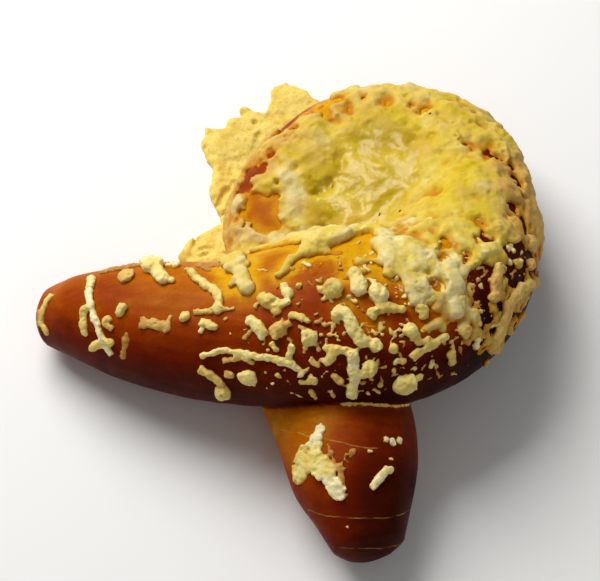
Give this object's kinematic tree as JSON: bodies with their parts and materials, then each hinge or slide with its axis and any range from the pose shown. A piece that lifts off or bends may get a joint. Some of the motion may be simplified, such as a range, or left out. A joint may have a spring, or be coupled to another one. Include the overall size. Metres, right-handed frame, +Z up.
{
  "type": "cheese pretzel knot",
  "caption": "Looped pretzel knot of browned lye dough, baked under melted cheese with shreds along its arm and a crisp spill beside the loop.",
  "frame": {"origin": "centre of the bounding box's bottom face, on the surface that the knot lies on", "axes": "+Z up out of the browned top, +Y from the short end to the loop, +X along the long arm towards the loop's outer side"},
  "size_m": [0.1554, 0.1793, 0.0549],
  "materials": {
    "crust": null,
    "melted_cheese": null,
    "tray_cheese": null
  },
  "bodies": {
    "root": {"pretzel_knot": "crust", "melted_cheese": "melted_cheese", "tray_cheese": "tray_cheese"}
  },
  "joints": []
}
